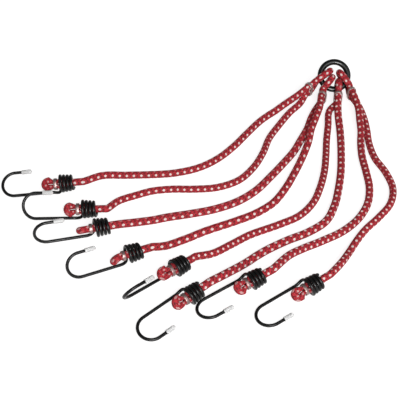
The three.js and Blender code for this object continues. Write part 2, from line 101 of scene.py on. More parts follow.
# Each doubled cord: its two arms, the clock angle and the slant at which its loop crosses the
# ring, how slack the loop is in squares, and its clip's place and heading
Loop = namedtuple("Loop", "front back clock slant slack clip heading")
LOOPS = [
    Loop(1, 2, -171, 35.6, 0.62, (13.6, 18, 0.75), -135),
    Loop(4, 3, -129, 52, 0.56, (15.3, 17.3, 0), -113),
    Loop(6, 5, -73, 86, 0.1, (17.3, 17.3, 0), -95),
    Loop(7, 8, -28, 126, 0.62, (19, 17.7, 0.3), -72),
]
RING_TILT = 45
OVER_ANGLES = (55, 90)
BIGHT_ANGLES = (125, 180, 235)
UNDER_ANGLES = (270, 305)

# Each hook's roll about its coil's axis, in degrees
HOOK_ROLLS = {1: 158.3, 2: 131.9, 3: 91.9, 4: 111.5, 5: 64.9, 6: -7.6, 7: 8.2, 8: 2.6}

# Each folded end, in degrees: its turn in the coil, its tilt past the clip, and the tilt's way
FOLDS = {1: (65, 20, 315), 2: (93, 40, 255), 3: (44, 3, 240), 4: (27, 40, 225),
         5: (-11, 50, 85), 6: (60, 50, 120), 7: (48, 38, 10), 8: (56, 35, 315)}

# Where the first row of pale dots runs along each arm: the distance from the ring clip in
# squares, the degrees from the arm's top towards its left, and the dots passed so far
DOT_ROWS = {
    1: [(0, 30, 1), (4, 48, 6.2), (9, 52, 11.9), (13, 50, 16.2), (17, 51, 21), (21, 56, 26),
        (26, 59, 32), (31.8, 54, 38.5)],
    2: [(0, 50, 0.4), (4, 50, 5.1), (8.5, 48, 10.7), (12.5, 48, 16), (16.5, 55, 21),
        (21.5, 58, 27.6), (26.5, 57, 34), (32.8, 54, 40.7)],
    3: [(0, 44, 0.8), (6, 56, 6), (11.5, 61, 11.1), (15, 55, 14.7), (18, 64, 17.5),
        (21.5, 61, 20.8), (26, 69, 25.3), (33.6, 65, 32.9)],
    4: [(0, 7, 0.8), (3, 23, 4.2), (8, 36, 9.1), (14.5, 30, 14.2), (19.5, 26, 19.1),
        (23.5, 40, 23.4), (28.5, 45, 28), (33.3, 51, 32.5)],
    5: [(0, 4, 0.5), (4.5, 15, 5.4), (9, 10, 10.3), (13, 15, 15.7), (18, 34, 22.5),
        (23, 43, 29.2), (28.5, 37, 36.5), (33.1, 38, 42.8)],
    6: [(0, -36, 0.1), (3, -24, 3.6), (8, -20, 8.3), (14, -9, 14.5), (18.3, -7, 19.1),
        (21.5, -14, 22.9), (26.5, -11, 28.4), (30, -3, 31.9), (32.5, -4, 34.2), (35.8, -4, 37.8)],
    7: [(0, -25, 0.5), (3.5, -27, 4.5), (6, -27, 7.2), (11.5, -23, 13.1), (16, -9, 18.7),
        (20, -13, 23.5), (24, -14, 28.6), (28.5, -14, 34.7), (32.4, -18, 39.3)],
    8: [(0, 3, 0.6), (3, 15, 3.7), (7.5, 7, 8.5), (12.5, -3, 14.5), (17.5, 24, 20.9),
        (23, 22, 28.5), (27, 12, 33.4), (29, 4, 35.1), (31.6, -16, 38.5)],
}

# Shares of the coil's length: where an arm ends in it, and where the folded end's skin starts
# and has begun to part, with its thickness there and its way aside against a whole leg's
ARM_END_SHARE = 0.78
FOLD_START_SHARE, PARTING_SHARE, HELD_SHARE, ASIDE_SHARE = 0.8, 0.65, 0.97, 1 / 6

# The wire's coil: the sides that a turn is taken to have where a cord has to fit inside it, the
# share of a turn along which its cut end is tucked in, and the steps of the curve that leaves it
COIL_FACETS = 12
TUCKED_TURN = 1 / 8
LEAD_STEPS = 14

# Steps of the rounded forms: a cord between two points of its route, a fold's bend and
# passages, a clip's round ends and edges, and a tip's sides, rim and dome
LEAST_STEPS, BEND_STEPS, PASSAGE_STEPS = 4, 12, 6
OVAL_STEPS, EDGE_STEPS = 16, 3
TIP_SIDES, RIM_STEPS, DOME_STEPS = 28, 6, 8

# A tip's shape: the bore's narrowed floor, and the place and width of the sleeve's faint waist
BORE_FLOOR_SHARE = 0.8
WAIST_SHARES = (0.45, 0.975)

# The braid: how round the two families of strands are, how square and how soft the outlines of
# its marks are, the width and length of the dark ones, the flecks' shift along the cord, the dots'
# painted shade in the grooves, the row past which every other row of dots gets painted shade that
# stands in for the shade on the cord's flanks, how much they lose there, and how much they stand
# out
STRAND_POWERS = (0.5, 0.35)
DOT_OUTLINE, KNOT_OUTLINE, FLECK_OUTLINE = (1.6, 0.22), (2.0, 0.4), (2.0, 0.45)
KNOT_SIZE, FLECK_SIZE, FLECK_SHIFT = (0.0022, 0.0018), (0.0028, 0.0012), 0.3
DOT_GROOVE_SHADE = (0.95, 0.74, 0.71, 1)
SHADED_DOTS_PAST_ROW, DOT_SHADE_LOSS, DOT_RISE = 1.5, 0.7, 0.2

# Ranges in the shaders: the rise that is lit, over which the painted shade of the grooves gives
# way to the strands' colour, the strands' tones, the braid's roughness from groove to crown, and
# the patches that are rubbed
LIT_RANGE, TONE_RANGE, BRAID_ROUGHNESS = (0.05, 0.75), (0.82, 1.12), (0.85, 0.6)
RUBBED_RANGE = (0.48, 0.72)

# The lamps: their names, places, sizes and the stage's setting that holds their power
LAMPS = (("Key", (0.6, -2.0, 1.5), 1.6, "key_power"),
         ("Side", (2.2, -0.6, 1.4), 1.4, "side_power"),
         ("Glint", (0.1, -1.9, 0.9), 0.4, "glint_power"))
SENSOR_WIDTH = 36
VIEW_RANGE = (0.01, 50)


def colour(name, description, default):
    return FloatVectorProperty(name=name, description=description, default=default,
                               subtype="COLOR", size=3, min=0, max=1)


def metres(name, description, default):
    return FloatProperty(name=name, description=description, default=default,
                         subtype="DISTANCE", unit="LENGTH", precision=4)


def degrees(name, description, default):
    return FloatProperty(name=name, description=description, default=radians(default),
                         subtype="ANGLE", unit="ROTATION")


def number(name, description, default, unit="NONE"):
    return FloatProperty(name=name, description=description, default=default, unit=unit)


def count(name, description, default):
    return IntProperty(name=name, description=description, default=default, min=1)


class CordSettings(bpy.types.PropertyGroup):
    diameter: metres("Cord diameter", "Thickness of the elastic cord", 0.008)
    seat_gap: metres("Seat gap", "Space left between pieces that meet", 0.0003)
    floor_gap: metres("Floor gap", "Space under the lying cords", 0.0001)
    leg_gap: metres("Leg gap", "Space between the two legs in a ring clip", 0.0004)
    wrap_gap: metres("Wrap gap", "Space between the ring and the cords on it", 0.00075)
    clip_run: metres("Clip run", "Straight run on each side of a ring clip", 0.0035)
    clip_swell: metres("Clip swell", "Run over which a cord widens past its clip", 0.02)
    neck_length: metres("Neck length", "Straight cord behind a coil", 0.006)
    neck_run_on: metres("Neck run-on", "Straight cord before the neck", 0.002)
    step: metres("Cord step", "Distance between the rings of a cord's mesh", 0.001)
    sides: count("Cord sides", "Faces round a cord", 28)
    dot_pitch: metres("Dot pitch", "Distance between the pale dots of one row", 0.0082)
    dot_rows: count("Dot rows", "Rows of dots round the cord", 5)
    dot_width: metres("Dot width", "Size of a pale dot across the cord", 0.0028)
    dot_length: metres("Dot length", "Size of a pale dot along the cord", 0.0029)
    strand_pitch: metres("Strand pitch", "Length of one braid cell", 0.00205)
    strands: count("Strands", "Strands round the braid", 24)
    cover_colour: colour("Cover", "Main colour of the braid", (0.66, 0.036, 0.052))
    # The groove colour is painted shade: it darkens the recesses between the strands
    groove_shade_colour: colour("Groove", "Colour between the strands", (0.30, 0.009, 0.016))
    dot_colour: colour("Dots", "Colour of the pale tracer strands", (1.0, 0.88, 0.85))
    fleck_colour: colour("Flecks", "Colour of the dark strands", (0.030, 0.012, 0.014))


class HookSettings(bpy.types.PropertyGroup):
    wire_diameter: metres("Wire diameter", "Thickness of the hook wire", 0.0036)
    coil_turns: count("Coil turns", "Turns of the coil", 4)
    coil_pitch: metres("Coil pitch", "Distance between neighbouring turns", 0.0041)
    mouth_diameter: metres("Coil mouth", "Coil's width at its mouth", 0.022)
    narrow_diameter: metres("Coil end", "Coil's width at its back", 0.019)
    end_tuck: metres("End tuck", "How far the coil's cut end turns in", 0.0014)
    leaves_at: degrees("Leaves at", "Where the wire leaves the coil", 135)
    coil_steps: count("Coil steps", "Steps in one turn", 40)
    shank_start: metres("Shank start", "Start of the straight shank", 0.010)
    shank_length: metres("Shank length", "Straight run to the bend", 0.0417)
    shank_offset: metres("Shank offset", "Shank's distance from the coil's axis", 0.0099)
    bend_radius: metres("Bend radius", "Radius of the half-round bend", 0.0145)
    bend_steps: count("Bend steps", "Steps in the bend", 36)
    return_leg: metres("Return leg", "Bare wire after the bend", 0.008)
    lead_out: metres("Lead out", "Reach of the curve that leaves the coil", 0.005)
    sides: count("Wire sides", "Faces round the wire", 20)
    colour: colour("Coating", "Black coating", (0.004, 0.004, 0.004))
    worn_colour: colour("Worn", "Coating where it is rubbed", (0.022, 0.024, 0.023))


class TipSettings(bpy.types.PropertyGroup):
    diameter: metres("Tip diameter", "Thickness of the dipped tip", 0.0052)
    length: metres("Tip length", "Length of the dipped tip", 0.012)
    grip: metres("Tip grip", "Depth of the wire in the tip", 0.009)
    colour: colour("Tip", "Translucent white vinyl", (1.0, 1.0, 0.99))
    worn_colour: colour("Worn tip", "Vinyl where it is rubbed", (0.96, 0.96, 0.95))


class FoldSettings(bpy.types.PropertyGroup):
    tail_in_coil: metres("Tail in coil", "Depth of the cord's tail in the coil", 0.007)
    leg_parting: metres("Leg parting", "Space between the two legs", 0.0004)
    squeezed_width: metres("Squeezed width", "Width of a leg in the coil", 0.0084)
    pinched_height: metres("Pinched height", "Height of a leg under its clip", 0.005)
    pinched_width: metres("Pinched width", "Width of a leg under its clip", 0.008)
    pinch_margin: metres("Pinch margin", "Pinched cord on each side of the clip", 0.0008)
    fold_centre: metres("Fold centre", "Middle of the fold", 0.0125)
    bend_run: metres("Bend run", "Length over which the fold tilts", 0.010)


class ClipSettings(bpy.types.PropertyGroup):
    wall: metres("Clip wall", "Thickness of the pressed strip", 0.001)
    breadth: metres("Clip breadth", "Width of the pressed strip", 0.0035)
    place: metres("Clip place", "Distance from the coil's mouth", 0.0042)
    gap: metres("Clip gap", "Space between the clip and its cords", 0.0006)
    edge: metres("Clip edge", "Rounding of the strip's edges", 0.0003)
    colour: colour("Clip", "Plated strip", (0.55, 0.44, 0.42))
    worn_colour: colour("Worn clip", "Strip where it is rubbed", (0.36, 0.28, 0.25))
    # The end clips' colours are the same plating with painted shade and a painted reflection of
    # the red cord
    end_colour_with_shade_and_reflection: colour("End clip", "Duller strip round a fold", (0.36, 0.25, 0.24))
    worn_end_colour_with_shade_and_reflection: colour("Worn end clip", "Duller strip where it is rubbed",
                            (0.24, 0.17, 0.16))


class RingSettings(bpy.types.PropertyGroup):
    outer_diameter: metres("Ring diameter", "Outside of the ring", 0.042)
    section: metres("Ring section", "Thickness of the ring's bar", 0.0075)
    steps: count("Ring steps", "Steps round the ring", 128)
    sides: count("Ring sides", "Faces round the bar", 36)
    colour: colour("Ring", "Glossy black coating", (0.004, 0.005, 0.0045))


class StageSettings(bpy.types.PropertyGroup):
    aim: FloatVectorProperty(name="Aim", description="Floor point at the middle of the view",
                             default=(0.0136, -0.0040, 0), subtype="TRANSLATION", size=3)
    distance: metres("Distance", "From the camera to the aim", 1.2615)
    elevation: degrees("Elevation", "Camera's height angle", 45)
    lens: number("Lens", "Focal length", 98.55, "CAMERA")
    floor_side: metres("Floor side", "Side of the square floor", 12)
    floor_drop: metres("Floor drop", "Floor's depth under the strap", 0.0002)
    floor_colour: colour("Floor", "Pale plain floor", (0.60, 0.59, 0.59))
    floor_glow: number("Floor glow", "White seen by the camera", 0.80)
    key_power: number("Key power", "Softbox in front", 43, "POWER")
    side_power: number("Side power", "Softbox at the right", 8, "POWER")
    glint_power: number("Glint power", "Small lamp seen in glossy pieces", 40, "POWER")
    world_strength: number("World strength", "Even light all round", 0.22)


class StrapSettings(bpy.types.PropertyGroup):
    cord: PointerProperty(type=CordSettings)
    hook: PointerProperty(type=HookSettings)
    tip: PointerProperty(type=TipSettings)
    fold: PointerProperty(type=FoldSettings)
    clip: PointerProperty(type=ClipSettings)
    ring: PointerProperty(type=RingSettings)
    stage: PointerProperty(type=StageSettings)


def settings():
    return bpy.context.scene.strap


# Shapes shared by the pieces

def layout_point(x, y, z):
    return Vector(((x + ORIGIN_SHARES[0]) * SQUARE, (y + ORIGIN_SHARES[1]) * SQUARE, z))


def swung(start, towards, angle):
    """The direction that an angle turns start to, on the way towards another direction."""
    return start * cos(angle) + towards * sin(angle)


def round_angles(steps, start=0):
    """Angles all round a circle, in radians."""
    return [start + tau * step / steps for step in range(steps)]


def arc_angles(start, end, steps):
    """Angles in radians from start to end, which are given in degrees."""
    return [radians(start + (end - start) * step / steps) for step in range(steps + 1)]


def joint_of(name):
    return next(joint for joint in frame["joints"] if joint["name"] == name)


def hook_frame(arm):
    """The place of a hook: its coil's mouth at the origin, its coil's axis along X."""
    joint = joint_of(f"hook_{arm}_twist")
    axis = Vector(joint["axis"]).normalized()
    heading = atan2(axis.y, axis.x)
    turn = Euler((radians(HOOK_ROLLS[arm]), -asin(axis.z), heading), "XYZ")
    return Matrix.Translation(joint["pos_m"]) @ turn.to_matrix().to_4x4()


def smooth_course(points, step, least_height):
    """A centripetal curve through points, cut into steps, that never dips under a height."""
    ends = [points[0] * 2 - points[1], *points, points[-1] * 2 - points[-2]]
    fine, marks = [], []
    for before, start, end, after in zip(ends, ends[1:], ends[2:], ends[3:]):
        marks.append(len(fine))
        spans = [max((b - a).length ** 0.5, TINY)
                 for a, b in ((before, start), (start, end), (end, after))]
        leave = ((start - before) / spans[0] - (end - before) / (spans[0] + spans[1])
                 + (end - start) / spans[1]) * spans[1]
        arrive = ((end - start) / spans[1] - (after - start) / (spans[1] + spans[2])
                  + (after - end) / spans[2]) * spans[1]
        steps = max(LEAST_STEPS, ceil((end - start).length / step))
        for i in range(steps):
            t = i / steps
            point = (start * (2 * t**3 - 3 * t**2 + 1) + leave * (t**3 - 2 * t**2 + t)
                     + end * (3 * t**2 - 2 * t**3) + arrive * (t**3 - t**2))
            point.z = max(point.z, least_height)
            fine.append(point)
    marks.append(len(fine))
    fine.append(points[-1].copy())
    return fine, marks


def lengths_along(points):
    total, lengths = 0.0, [0.0]
    for a, b in zip(points, points[1:]):
        total += (b - a).length
        lengths.append(total)
    return lengths


def section_frames(points, first_across):
    """For each point, the directions across and above the path, carried without twisting."""
    across, found = first_across.copy(), []
    for i, _ in enumerate(points):
        tangent = (points[min(i + 1, len(points) - 1)] - points[max(i - 1, 0)]).normalized()
        across = (across - tangent * across.dot(tangent)).normalized()
        found.append((across.copy(), tangent.cross(across)))
    return found


def add_object(name, data):
    found = bpy.data.objects.new(name, data)
    bpy.context.scene.collection.objects.link(found)
    return found


def new_piece(name, bm, material, smooth=True):
    """A mesh object at the origin, with its faces outward where it is closed."""
    bmesh.ops.recalc_face_normals(bm, faces=bm.faces)
    mesh = bpy.data.meshes.new(name)
    bm.to_mesh(mesh)
    bm.free()
    mesh.materials.append(bpy.data.materials[material])
    for face in mesh.polygons:
        face.use_smooth = smooth
    return add_object(name, mesh)


def skin(bm, rows):
    """Faces between neighbouring rows of vertices, each row closed on itself or a single pole."""
    faces = []
    for near, far in zip(rows, rows[1:]):
        for i, _ in enumerate(near):
            after = (i + 1) % len(near)
            corners = dict.fromkeys((near[i], near[after], far[after], far[i]))
            faces.append(bm.faces.new(list(corners)))
    return faces


def loft(name, rings, along, material):
    """A closed skin over rings of points; its UV map holds turns round and metres along."""
    bm = bmesh.new()
    uv = bm.loops.layers.uv.new("Surface")
    rows = [[bm.verts.new(point) for point in ring] for ring in rings]
    sides = len(rings[0])
    for index, face in enumerate(skin(bm, rows)):
        i, side = divmod(index, sides)
        corners = ((side, i), (side + 1, i), (side + 1, i + 1), (side, i + 1))
        for loop, (turn, row) in zip(face.loops, corners):
            loop[uv].uv = (turn / sides, along[row])
    for row, end in ((rows[0], 0), (rows[-1], -1)):
        for loop in bm.faces.new(row).loops:
            loop[uv].uv = (0.5, along[end])
    return new_piece(name, bm, material)


def row_at(rows, distance):
    """The angle of the first row of dots, in radians, and the dots passed, at a distance."""
    for (start, turn, dots), (end, next_turn, next_dots) in zip(rows, rows[1:]):
        share = (distance - start) / (end - start)
        if share <= 1:
            break
    return (radians(turn + (next_turn - turn) * share), dots + (next_dots - dots) * share)


def cord_mesh(name, points, rows, girth):
    """A round cord along points, whose rows of dots turn and lengthen as the table of rows says.

    It widens past its clip, and where it lies on the surface it is raised by as much."""
    cord = settings().cord
    rings, along = [], []
    frames = section_frames(points, UP.cross(points[1] - points[0]).normalized())
    for point, length, (across, above) in zip(points, lengths_along(points), frames):
        turn, dots = row_at(rows, length)
        radius = cord.diameter / 2 * (1 + (girth - 1) * min(length / cord.clip_swell, 1))
        centre = Vector((point.x, point.y, max(point.z, radius + cord.floor_gap)))
        rings.append([centre + swung(above, across, angle) * radius
                      for angle in round_angles(cord.sides, turn - pi / cord.dot_rows)])
        along.append(dots * cord.dot_pitch)
    return loft(name, rings, along, "Braided cord")


def stand_for(piece, slot, body, *nodes):
    """Puts a piece in place of CAD nodes, which it hides, and lets it ride on a body; the slot is
    not used.
    """
    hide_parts(*nodes)
    if body:
        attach(piece, body)


# Shader node groups and materials

class NodeNumber:
    """A number in a shader's node tree, so that its nodes can be written as a plain sum."""

    def __init__(self, tree, socket):
        self.tree, self.socket = tree, socket

    def through(self, operation, *values):
        node = add_node(self.tree, "ShaderNodeMath", dict(enumerate((self, *values))),
                        operation=operation)
        return NodeNumber(self.tree, node.outputs[0])

    __add__ = partialmethod(through, "ADD")
    __sub__ = partialmethod(through, "SUBTRACT")
    __mul__ = partialmethod(through, "MULTIPLY")
    __truediv__ = partialmethod(through, "DIVIDE")
    __pow__ = partialmethod(through, "POWER")
    __gt__ = partialmethod(through, "GREATER_THAN")


def feed(tree, node, inputs):
    """Links a node's inputs to sockets, or sets them to plain values."""
    for key, value in inputs.items():
        source = value.socket if isinstance(value, NodeNumber) else value
        if isinstance(source, bpy.types.NodeSocket):
            tree.links.new(source, node.inputs[key])
        else:
            node.inputs[key].default_value = source


def add_node(tree, kind, inputs=None, **options):
    node = tree.nodes.new(kind)
    for key, value in options.items():
        setattr(node, key, value)
    feed(tree, node, inputs or {})
    return node


def mix(tree, factor, first, second):
    node = add_node(tree, "ShaderNodeMix", {0: factor, 2: first, 3: second})
    return NodeNumber(tree, node.outputs[0])


def mix_colour(tree, factor, first, second, blend="MIX"):
    node = add_node(tree, "ShaderNodeMix", {0: factor, 6: first, 7: second},
                    data_type="RGBA", blend_type=blend, clamp_factor=True)
    return node.outputs[2]


def smooth_range(tree, value, low, high, to_low=0.0, to_high=1.0):
    node = add_node(tree, "ShaderNodeMapRange", {0: value, 1: low, 2: high, 3: to_low, 4: to_high},
                    interpolation_type="SMOOTHSTEP")
    return NodeNumber(tree, node.outputs[0])


def shader_group(name, place, inputs):
    """An empty group that is given a place and inputs, and gives a colour and two numbers."""
    group = bpy.data.node_groups.new(name, "ShaderNodeTree")
    group.interface.new_socket(name=place, in_out="INPUT", socket_type="NodeSocketVector")
    kinds = {float: "NodeSocketFloat", tuple: "NodeSocketColor"}
    for label, value in inputs.items():
        socket = group.interface.new_socket(name=label, in_out="INPUT",
                                            socket_type=kinds[type(value)])
        socket.default_value = value
    for label, kind in (("Color", tuple), ("Roughness", float), ("Height", float)):
        group.interface.new_socket(name=label, in_out="OUTPUT", socket_type=kinds[kind])
    given = {socket.name: NodeNumber(group, socket)
             for socket in group.nodes.new("NodeGroupInput").outputs}
    return group, given, group.nodes.new("NodeGroupOutput")


def braided_cover_group():
    """Braid of a cord's cover: pale dots in rows, dark flecks between the rows, red strands, with
    painted shade in the grooves and on every other row of dots.
    """
    group, given, result = shader_group("Braided cover", "Surface", {
        "Girth": 0.025, "Rows": 5.0, "Dot pitch": 0.008, "Dot width": 0.0024,
        "Dot length": 0.0027, "Strands": 24.0, "Strand pitch": 0.002, "Cover": (0.5, 0, 0, 1),
        "Groove": (0.2, 0, 0, 1), "Dots": (1, 1, 1, 1), "Flecks": (0, 0, 0, 1),
        "Fleck strength": 0.6, "Dot strength": 1.0})
    place = add_node(group, "ShaderNodeSeparateXYZ", {0: given["Surface"]}).outputs
    turn, along = NodeNumber(group, place[0]), NodeNumber(group, place[1])

    # Strand cells: two families of strands that pass over and under each other
    column, row = turn * given["Strands"] * 0.5, along / given["Strand pitch"]
    right, left = column + row, column - row
    cell = right.through("FLOOR"), left.through("FLOOR")
    over = (cell[0] + cell[1]).through("PINGPONG", 1.0) > 0.5

    def crown(value):
        centred = value.through("FRACT") - 0.5
        return centred * centred * -4.0 + 1.0

    crowns = crown(right), crown(left)
    upper, lower = mix(group, over, *crowns), mix(group, over, *crowns[::-1])
    rise = upper ** STRAND_POWERS[0] * lower ** STRAND_POWERS[1]

    # Rows of dots, with a dark knot between the dots of a row
    def centred(value, size):
        return (value.through("FRACT") - 0.5) * size

    def blot(x, y, width, length, power, soft):
        across = (x.through("ABSOLUTE") / (width * 0.5)) ** power
        reach = across + (y.through("ABSOLUTE") / (length * 0.5)) ** power
        return smooth_range(group, reach, 1.0 - soft, 1.0 + soft, 1.0, 0.0)

    rows, pitch = turn * given["Rows"], given["Dot pitch"]
    row_number, row_width = rows.through("FLOOR"), given["Girth"] / given["Rows"]
    beat = along / pitch + row_number / given["Rows"]
    dot_x = centred(rows, row_width)
    dots = blot(dot_x, centred(beat, pitch), given["Dot width"], given["Dot length"],
                *DOT_OUTLINE)
    knots = blot(dot_x, centred(beat + 0.5, pitch), *KNOT_SIZE, *KNOT_OUTLINE)

    # Dark strokes that lean across the bands between the rows
    fleck_pitch, lean = pitch * 0.5, sqrt(0.5)
    fleck_x = centred(rows + 0.5, row_width)
    fleck_y = centred(along / fleck_pitch + FLECK_SHIFT, fleck_pitch)
    flecks = blot((fleck_x + fleck_y) * lean, (fleck_y - fleck_x) * lean,
                  *FLECK_SIZE, *FLECK_OUTLINE)

    # Colour: strands of slightly different tone, dark marks, painted shade in the grooves, and
    # dots with painted shade in every other row past the first two, standing in for the shade on
    # the cord's flanks
    lit = smooth_range(group, rise, *LIT_RANGE)
    cell_place = add_node(group, "ShaderNodeCombineXYZ", dict(enumerate(cell))).outputs[0]
    tone = add_node(group, "ShaderNodeTexWhiteNoise", {0: cell_place}, noise_dimensions="2D")
    shade = smooth_range(group, tone.outputs[0], 0.0, 1.0, *TONE_RANGE)
    grey = add_node(group, "ShaderNodeCombineColor", {0: shade, 1: shade, 2: shade}).outputs[0]
    # Painted shade: the colour falls from the cover's to the groove shade in the recesses between
    # the strands
    base = mix_colour(group, lit, given["Groove"], given["Cover"])
    base = mix_colour(group, 1.0, base, grey, "MULTIPLY")
    for marks in (flecks, knots):
        base = mix_colour(group, marks * given["Fleck strength"], base, given["Flecks"])
    # Painted shade: every other row of dots past the first two is dimmed, standing in for the
    # shade on the cord's flanks
    even = row_number.through("PINGPONG", 1.0).through("COMPARE", 0.0, 0.25)
    painted_dot_shade = (row_number > SHADED_DOTS_PAST_ROW) * even * -DOT_SHADE_LOSS
    strength = given["Dot strength"] * (painted_dot_shade + 1.0)
    # Painted shade on the dots too, where they dip into the grooves
    pale = mix_colour(group, lit, DOT_GROOVE_SHADE, given["Dots"])
    feed(group, result, {"Color": mix_colour(group, dots * strength, base, pale),
                         "Roughness": smooth_range(group, rise, 0.0, 1.0, *BRAID_ROUGHNESS),
                         "Height": dots * DOT_RISE + rise})


def worn_coating_group():
    """A coating's grain and rubbed places, for wire, ring, clips and tips."""
    group, given, result = shader_group("Worn coating", "Place", {
        "Coating": (0, 0, 0, 1), "Worn": (0.1, 0.1, 0.1, 1), "Patch scale": 60.0,
        "Grain scale": 900.0, "Wear": 0.4, "Smooth": 0.25, "Rough": 0.5})

    def noise(scale, detail):
        return add_node(group, "ShaderNodeTexNoise", {
            "Vector": given["Place"], "Scale": given[scale], "Detail": detail}).outputs[0]

    patches = noise("Patch scale", detail=4.0)
    rubbed = smooth_range(group, patches, *RUBBED_RANGE) * given["Wear"]
    feed(group, result, {"Color": mix_colour(group, rubbed, given["Coating"], given["Worn"]),
                         "Roughness": mix(group, patches, given["Smooth"], given["Rough"]),
                         "Height": noise("Grain scale", detail=2.0)})


def new_material(name, constants):
    """A material with a Principled shader whose unchanging values stand on its own sockets."""
    material = bpy.data.materials.new(name)
    material.use_nodes = True
    tree = material.node_tree
    shader = tree.nodes["Principled BSDF"]
    feed(tree, shader, constants)
    return tree, shader


def dress(tree, shader, group, inputs, depth, strength):
    """Places a group of nodes that feeds its colour, roughness and height to the shader."""
    outputs = add_node(tree, "ShaderNodeGroup", inputs,
                       node_tree=bpy.data.node_groups[group]).outputs
    bump = add_node(tree, "ShaderNodeBump", {
        "Height": outputs["Height"], "Distance": depth, "Strength": strength})
    feed(tree, shader, {"Base Color": outputs["Color"], "Roughness": outputs["Roughness"],
                        "Normal": bump.outputs[0]})


def braid_material(name, fleck_strength, dot_strength):
    cord = settings().cord
    tree, shader = new_material(name, {
        "Sheen Weight": 0.05, "Sheen Roughness": 0.5, "Specular IOR Level": 0.2})
    dress(tree, shader, "Braided cover", {
        "Surface": add_node(tree, "ShaderNodeUVMap", uv_map="Surface").outputs[0],
        "Girth": pi * cord.diameter, "Rows": float(cord.dot_rows),
        "Dot pitch": cord.dot_pitch, "Dot width": cord.dot_width, "Dot length": cord.dot_length,
        "Strands": float(cord.strands), "Strand pitch": cord.strand_pitch,
        "Cover": (*cord.cover_colour, 1), "Groove": (*cord.groove_shade_colour, 1),
        "Dots": (*cord.dot_colour, 1), "Flecks": (*cord.fleck_colour, 1),
        "Fleck strength": fleck_strength, "Dot strength": dot_strength},
        depth=0.0004, strength=0.8)


def coated_material(name, coating, worn, constants, patch_scale, wear, smooth, rough, depth):
    tree, shader = new_material(name, constants)
    dress(tree, shader, "Worn coating", {
        "Place": add_node(tree, "ShaderNodeTexCoord").outputs["Object"],
        "Coating": (*coating, 1), "Worn": (*worn, 1), "Patch scale": patch_scale, "Wear": wear,
        "Smooth": smooth, "Rough": rough}, depth, strength=0.5)


# Round bars, made by geometry nodes

def round_bar_tree():
    """Sweeps a round section along a path: used for the hook wires and the ring."""
    tree = bpy.data.node_groups.new("Round bar", "GeometryNodeTree")
    for label, kind, way in (("Path", "NodeSocketGeometry", "INPUT"),
                             ("Radius", "NodeSocketFloat", "INPUT"),
                             ("Sides", "NodeSocketInt", "INPUT"),
                             ("Material", "NodeSocketMaterial", "INPUT"),
                             ("Bar", "NodeSocketGeometry", "OUTPUT")):
        tree.interface.new_socket(name=label, in_out=way, socket_type=kind)
    given = tree.nodes.new("NodeGroupInput").outputs
    section = add_node(tree, "GeometryNodeCurvePrimitiveCircle",
                       {"Resolution": given["Sides"], "Radius": given["Radius"]})
    bar = add_node(tree, "GeometryNodeCurveToMesh", {
        "Curve": given["Path"], "Profile Curve": section.outputs[0], "Fill Caps": True})
    smooth = add_node(tree, "GeometryNodeSetShadeSmooth", {"Geometry": bar.outputs[0]})
    real = add_node(tree, "GeometryNodeRealizeInstances", {0: smooth.outputs[0]})
    dressed = add_node(tree, "GeometryNodeSetMaterial",
                       {"Geometry": real.outputs[0], "Material": given["Material"]})
    add_node(tree, "NodeGroupOutput", {0: dressed.outputs[0]})


def round_bar(name, points, cyclic, radius, sides, material):
    """Runs the round bar tree on a path and keeps its result as a plain mesh."""
    curve = bpy.data.curves.new(f"{name}_path", "CURVE")
    curve.dimensions = "3D"
    spline = curve.splines.new("POLY")
    spline.points.add(len(points) - 1)
    for place, point in zip(spline.points, points):
        place.co = (*point, 1)
    spline.use_cyclic_u = cyclic
    maker = add_object(f"{name}_path", curve)
    modifier = maker.modifiers.new("Round bar", "NODES")
    modifier.node_group = bpy.data.node_groups["Round bar"]
    values = {"Radius": radius, "Sides": sides, "Material": bpy.data.materials[material]}
    for item in modifier.node_group.interface.items_tree:
        if item.name in values:
            modifier[item.identifier] = values[item.name]
    made = maker.evaluated_get(bpy.context.evaluated_depsgraph_get())
    mesh = bpy.data.meshes.new_from_object(made)
    maker.modifiers.remove(modifier)
    bpy.data.objects.remove(maker)
    if not mesh.polygons:
        raise RuntimeError(f"{name} has no faces")
    mesh.name = name
    return add_object(name, mesh)


# The wire, the fold and the clips, in a hook's own frame

def coil_radius(share):
    """The radius of the coil's centre line, a share of the way from its mouth to its end."""
    hook = settings().hook
    mouth, narrow = ((width - hook.wire_diameter) / 2
                     for width in (hook.mouth_diameter, hook.narrow_diameter))
    return mouth + (narrow - mouth) * share


def coil_length():
    hook = settings().hook
    return hook.coil_turns * hook.coil_pitch


